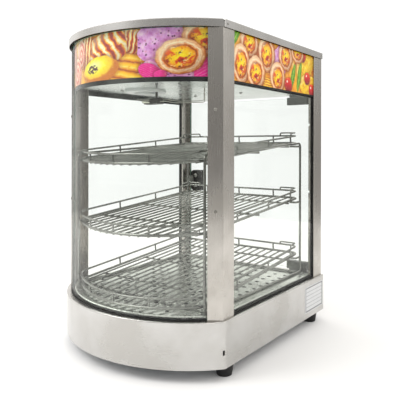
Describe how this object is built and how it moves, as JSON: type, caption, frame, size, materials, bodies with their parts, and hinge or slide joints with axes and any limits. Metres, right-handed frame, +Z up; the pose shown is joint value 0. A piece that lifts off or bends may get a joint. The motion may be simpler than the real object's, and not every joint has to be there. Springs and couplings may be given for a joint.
{
  "type": "hot food display case",
  "caption": "Countertop heated display case with a bent glass front, wire shelves on a rack, a hinged glass rear door and a control panel below it.",
  "frame": {"origin": "on the supporting surface, under the centre of the whole case", "axes": "+Z up, -Y towards the customer and the bent glass, +Y towards the door and controls, +X to the right of a customer"},
  "size_m": [0.4002, 0.52, 0.61],
  "materials": {
    "polished_stainless": "fine brushed, near mirror",
    "stainless_dull": "satin",
    "galvanised_steel": "dull",
    "curved_glass": "clear",
    "flat_glass": "clear",
    "gasket_rubber": "matt",
    "foot_rubber": "matt",
    "printed_sign": null,
    "chromed_wire": "bright",
    "heater_sheath": "heat-dulled",
    "ceramic_white": "matt",
    "white_enamel": "satin",
    "lamp_holder_dark": "matt",
    "lamp_quartz": "clear",
    "wire_sleeve": "silicone",
    "black_plastic": "fine texture",
    "smoked_plastic": "smooth",
    "rocker_red": "translucent",
    "rocker_black": "smooth",
    "indicator_lens": "translucent",
    "hinge_metal": "dark plated",
    "screw_steel": "plated",
    "magnet_grey": "smooth",
    "thermostat_case": "zinc plated",
    "label_paper": "silver-white film"
  },
  "bodies": {
    "case": {"base_shell": "polished_stainless", "base_bottom_plate": "galvanised_steel", "base_rear_panel": "polished_stainless", "inner_well": "stainless_dull", "heating_element": "heater_sheath", "heater_supports": "ceramic_white", "water_pan": "stainless_dull", "floor_cover": "stainless_dull", "foot_front_left": "foot_rubber", "foot_front_right": "foot_rubber", "foot_rear_left": "foot_rubber", "foot_rear_right": "foot_rubber", "case_screws": "screw_steel", "rating_label": "label_paper", "front_post_right": "polished_stainless", "front_post_left": "polished_stainless", "rear_post_right": "polished_stainless", "rear_post_left": "polished_stainless", "side_glass_right": "flat_glass", "side_glass_left": "flat_glass", "side_sign_right": "printed_sign", "side_sign_left": "printed_sign", "side_glass_gaskets": "gasket_rubber", "curved_glass": "curved_glass", "curved_glass_gasket": "gasket_rubber", "front_sign": "printed_sign", "ceiling_pan": "polished_stainless", "canopy_rear_panel": "polished_stainless", "cap_lid": "polished_stainless", "rivets": "screw_steel", "lamp_base": "white_enamel", "lamp_holder": "lamp_holder_dark", "lamp_capsule": "lamp_quartz", "lamp_guard": "chromed_wire", "lamp_wires": "wire_sleeve", "rack_frame": "chromed_wire", "hinge_brackets": "hinge_metal", "door_magnet": "magnet_grey", "thermostat_body": "thermostat_case", "thermostat_sensor": "screw_steel", "switch_housings": "black_plastic", "indicator_lamps": "indicator_lens", "cord_gland": "black_plastic"},
    "door": {"door_glass": "flat_glass", "hinge_clamp_lower": "hinge_metal", "hinge_clamp_upper": "hinge_metal", "hinge_pins": "screw_steel", "door_screws": "screw_steel", "door_handle": "smoked_plastic", "door_strike": "screw_steel"},
    "knob": {"thermostat_shaft": "screw_steel", "thermostat_knob": "black_plastic"},
    "heat_rocker": {"heat_switch_rocker": "rocker_red"},
    "light_rocker": {"light_switch_rocker": "rocker_black"},
    "shelf_lower": {"shelf_lower_grid": "chromed_wire", "shelf_lower_rail": "chromed_wire"},
    "shelf_middle": {"shelf_middle_grid": "chromed_wire", "shelf_middle_rail": "chromed_wire"},
    "shelf_upper": {"shelf_upper_grid": "chromed_wire", "shelf_upper_rail": "chromed_wire"}
  },
  "joints": [
    {"name": "door_hinge", "type": "hinge", "parent": "case", "child": "door", "pos_m": [0.153, 0.2305, 0.308], "axis": [0, 0, -1], "range_deg": [0, 110]},
    {"name": "thermostat_turn", "type": "hinge", "parent": "case", "child": "knob", "pos_m": [0.118, 0.238, 0.062], "axis": [0, -1, 0], "range_deg": [0, 270]},
    {"name": "heat_switch", "type": "hinge", "parent": "case", "child": "heat_rocker", "pos_m": [-0.008, 0.236, 0.062], "axis": [1, 0, 0], "range_deg": [0, 14]},
    {"name": "light_switch", "type": "hinge", "parent": "case", "child": "light_rocker", "pos_m": [0.034, 0.236, 0.062], "axis": [1, 0, 0], "range_deg": [0, 14]},
    {"name": "shelf_lower_lift", "type": "slide", "parent": "case", "child": "shelf_lower", "axis": [0, 0, 1], "range_m": [0, 0.03]},
    {"name": "shelf_middle_lift", "type": "slide", "parent": "case", "child": "shelf_middle", "axis": [0, 0, 1], "range_m": [0, 0.03]},
    {"name": "shelf_upper_lift", "type": "slide", "parent": "case", "child": "shelf_upper", "axis": [0, 0, 1], "range_m": [0, 0.03]}
  ]
}
